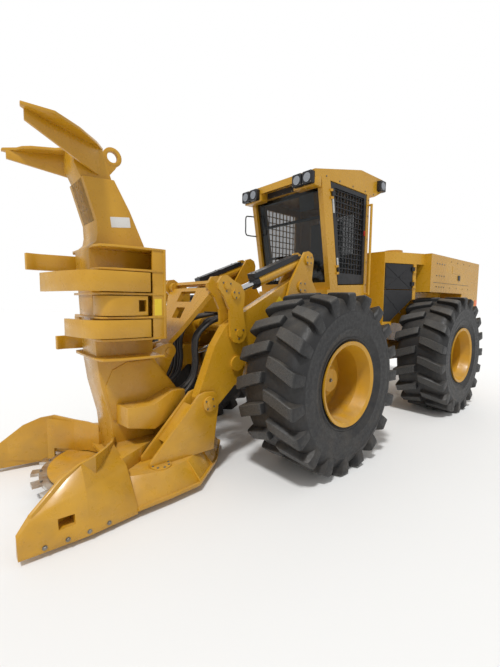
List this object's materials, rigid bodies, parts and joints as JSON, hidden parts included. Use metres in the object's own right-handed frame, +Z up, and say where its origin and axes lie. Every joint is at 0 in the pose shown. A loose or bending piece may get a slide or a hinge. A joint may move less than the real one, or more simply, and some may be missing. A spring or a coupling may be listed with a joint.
{
  "type": "wheeled feller buncher",
  "caption": "Articulated drive-to-tree forestry machine with a cab, an engine hood, four ag-lug tyres and a disc saw felling head on tilting lift arms.",
  "frame": {"origin": "on the ground, at the middle of the overall length and width", "axes": "+X forward towards the saw head, +Y to the machine's left, +Z up"},
  "size_m": [7.79, 3.008, 3.5236],
  "materials": {
    "yellow_paint": "satin",
    "charcoal_paint": "satin",
    "cast_housing": "matte",
    "chrome_rod": "polished",
    "window_glass": "gloss",
    "seat_fabric": "matte",
    "saw_steel": "worn",
    "tyre_rubber": "matte",
    "rim_paint": "satin"
  },
  "bodies": {
    "front_frame": {"front_frame": "yellow_paint", "front_axle": "cast_housing", "cab_floor": "yellow_paint", "cab_posts": "yellow_paint", "cab_roof": "yellow_paint", "cab_front_guard": "charcoal_paint", "cab_right_wall": "yellow_paint", "cab_rear_wall": "yellow_paint", "cab_seat": "seat_fabric", "cab_lamps": "charcoal_paint", "cab_handrail": "yellow_paint", "cab_windows": "window_glass"},
    "cab_door": {"cab_door": "yellow_paint", "door_glass": "window_glass"},
    "rear_frame": {"rear_frame": "yellow_paint", "rear_axle": "cast_housing", "engine_block": "cast_housing", "mid_enclosure": "yellow_paint", "rear_enclosure": "yellow_paint", "hood_top": "yellow_paint", "tail_grille": "charcoal_paint", "side_screens": "charcoal_paint"},
    "engine_door_left": {"engine_door_left": "charcoal_paint"},
    "engine_door_right": {"engine_door_right": "charcoal_paint"},
    "lift_arms": {"lift_arms": "yellow_paint"},
    "bell_cranks": {"bell_cranks": "yellow_paint"},
    "tilt_link": {"tilt_link": "yellow_paint"},
    "tilt_barrels": {"tilt_barrels": "charcoal_paint"},
    "tilt_rods": {"tilt_rods": "chrome_rod"},
    "lift_barrels": {"lift_barrels": "charcoal_paint"},
    "lift_rods": {"lift_rods": "chrome_rod"},
    "steer_barrel_left": {"steer_barrel_left": "charcoal_paint"},
    "steer_rod_left": {"steer_rod_left": "chrome_rod"},
    "steer_barrel_right": {"steer_barrel_right": "charcoal_paint"},
    "steer_rod_right": {"steer_rod_right": "chrome_rod"},
    "head": {"head_spine": "yellow_paint", "head_deck": "yellow_paint", "horn_left": "yellow_paint", "horn_right": "yellow_paint", "head_crown": "yellow_paint", "butt_plate": "yellow_paint", "drive_guard": "yellow_paint"},
    "saw_disc": {"saw_disc": "saw_steel"},
    "clamp_arm": {"clamp_arm": "yellow_paint"},
    "grab_arm": {"grab_arm": "yellow_paint"},
    "wheel_front_left": {"tyre_front_left": "tyre_rubber", "rim_front_left": "rim_paint"},
    "wheel_front_right": {"tyre_front_right": "tyre_rubber", "rim_front_right": "rim_paint"},
    "wheel_rear_left": {"tyre_rear_left": "tyre_rubber", "rim_rear_left": "rim_paint"},
    "wheel_rear_right": {"tyre_rear_right": "tyre_rubber", "rim_rear_right": "rim_paint"}
  },
  "joints": [
    {"name": "articulation", "type": "hinge", "parent": "front_frame", "child": "rear_frame", "pos_m": [-0.391, 0, 1], "axis": [0, 0, 1], "range_deg": [-40, 40]},
    {"name": "wheel_spin_front_left", "type": "hinge", "parent": "front_frame", "child": "wheel_front_left", "pos_m": [1.165, 1.138, 0.9098], "axis": [0, 1, 0], "continuous": true},
    {"name": "wheel_spin_front_right", "type": "hinge", "parent": "front_frame", "child": "wheel_front_right", "pos_m": [1.165, -1.138, 0.9098], "axis": [0, 1, 0], "continuous": true},
    {"name": "wheel_spin_rear_left", "type": "hinge", "parent": "rear_frame", "child": "wheel_rear_left", "pos_m": [-1.947, 1.138, 0.9098], "axis": [0, 1, 0], "continuous": true},
    {"name": "wheel_spin_rear_right", "type": "hinge", "parent": "rear_frame", "child": "wheel_rear_right", "pos_m": [-1.947, -1.138, 0.9098], "axis": [0, 1, 0], "continuous": true},
    {"name": "lift", "type": "hinge", "parent": "front_frame", "child": "lift_arms", "pos_m": [0.955, 0, 1.9], "axis": [0, -1, 0], "range_deg": [0, 40]},
    {"name": "tilt", "type": "hinge", "parent": "lift_arms", "child": "head", "pos_m": [2.275, 0, 0.73], "axis": [0, 1, 0], "range_deg": [-20, 25]},
    {"name": "crank_turn", "type": "hinge", "parent": "lift_arms", "child": "bell_cranks", "pos_m": [1.905, 0, 1.4], "axis": [0, 1, 0], "range_deg": [-20.5, 25.5]},
    {"name": "link_turn", "type": "hinge", "parent": "bell_cranks", "child": "tilt_link", "pos_m": [2.065, 0, 1.87], "axis": [0, 1, 0], "range_deg": [-25.5, 20.5]},
    {"name": "tilt_barrel_turn", "type": "hinge", "parent": "front_frame", "child": "tilt_barrels", "pos_m": [0.845, 0, 2.22], "axis": [0, -1, 0], "range_deg": [-1, 37]},
    {"name": "tilt_stroke", "type": "slide", "parent": "tilt_barrels", "child": "tilt_rods", "axis": [0.9325, 0, -0.3612], "range_m": [-0.132, 0.165]},
    {"name": "lift_barrel_turn", "type": "hinge", "parent": "front_frame", "child": "lift_barrels", "pos_m": [0.665, 0, 1.3], "axis": [0, -1, 0], "range_deg": [-1, 32]},
    {"name": "lift_stroke", "type": "slide", "parent": "lift_barrels", "child": "lift_rods", "axis": [0.9846, 0, -0.1747], "range_m": [-0.005, 0.4]},
    {"name": "saw_spin", "type": "hinge", "parent": "head", "child": "saw_disc", "pos_m": [2.965, 0, 0.13], "axis": [0, 0, 1], "continuous": true},
    {"name": "clamp_swing", "type": "hinge", "parent": "head", "child": "clamp_arm", "pos_m": [2.925, 0.36, 1.68], "axis": [0, 0, 1], "range_deg": [0, 75]},
    {"name": "grab_swing", "type": "hinge", "parent": "head", "child": "grab_arm", "pos_m": [2.925, -0.36, 1.69], "axis": [0, 0, 1], "range_deg": [-30, 33]},
    {"name": "cab_door_swing", "type": "hinge", "parent": "front_frame", "child": "cab_door", "pos_m": [0.3405, 0.652, 2.59], "axis": [-0.1758, 0, -0.9844], "range_deg": [0, 100]},
    {"name": "engine_door_left_swing", "type": "hinge", "parent": "rear_frame", "child": "engine_door_left", "pos_m": [-1.431, 0.88476, 2.12], "axis": [0, 0, 1], "range_deg": [0, 100]},
    {"name": "engine_door_right_swing", "type": "hinge", "parent": "rear_frame", "child": "engine_door_right", "pos_m": [-1.431, -0.88476, 2.12], "axis": [0, 0, -1], "range_deg": [0, 100]},
    {"name": "steer_turn_left", "type": "hinge", "parent": "front_frame", "child": "steer_barrel_left", "pos_m": [0.415, 0.32, 1], "axis": [0, 0, 1], "range_deg": [-12, 12]},
    {"name": "steer_stroke_left", "type": "slide", "parent": "steer_barrel_left", "child": "steer_rod_left", "axis": [-0.9993, 0.0381, 0], "range_m": [-0.26, 0.26]},
    {"name": "steer_turn_right", "type": "hinge", "parent": "front_frame", "child": "steer_barrel_right", "pos_m": [0.415, -0.32, 1], "axis": [0, 0, 1], "range_deg": [-12, 12]},
    {"name": "steer_stroke_right", "type": "slide", "parent": "steer_barrel_right", "child": "steer_rod_right", "axis": [-0.9993, -0.0381, 0], "range_m": [-0.26, 0.26]}
  ],
  "couplings": [
    {"joint": "crank_turn", "follows": "tilt", "ratio": 1},
    {"joint": "link_turn", "follows": "tilt", "ratio": -1},
    {"joint": "tilt_barrel_turn", "follows": "lift", "ratio": 0.883},
    {"joint": "tilt_stroke", "follows": "tilt", "m_per_rad": 0.3725},
    {"joint": "lift_barrel_turn", "follows": "lift", "ratio": 0.768},
    {"joint": "lift_stroke", "follows": "lift", "m_per_rad": 0.561},
    {"joint": "steer_turn_left", "follows": "articulation", "ratio": 0.22},
    {"joint": "steer_turn_right", "follows": "articulation", "ratio": 0.22},
    {"joint": "steer_stroke_left", "follows": "articulation", "m_per_rad": 0.337},
    {"joint": "steer_stroke_right", "follows": "articulation", "m_per_rad": -0.337}
  ]
}
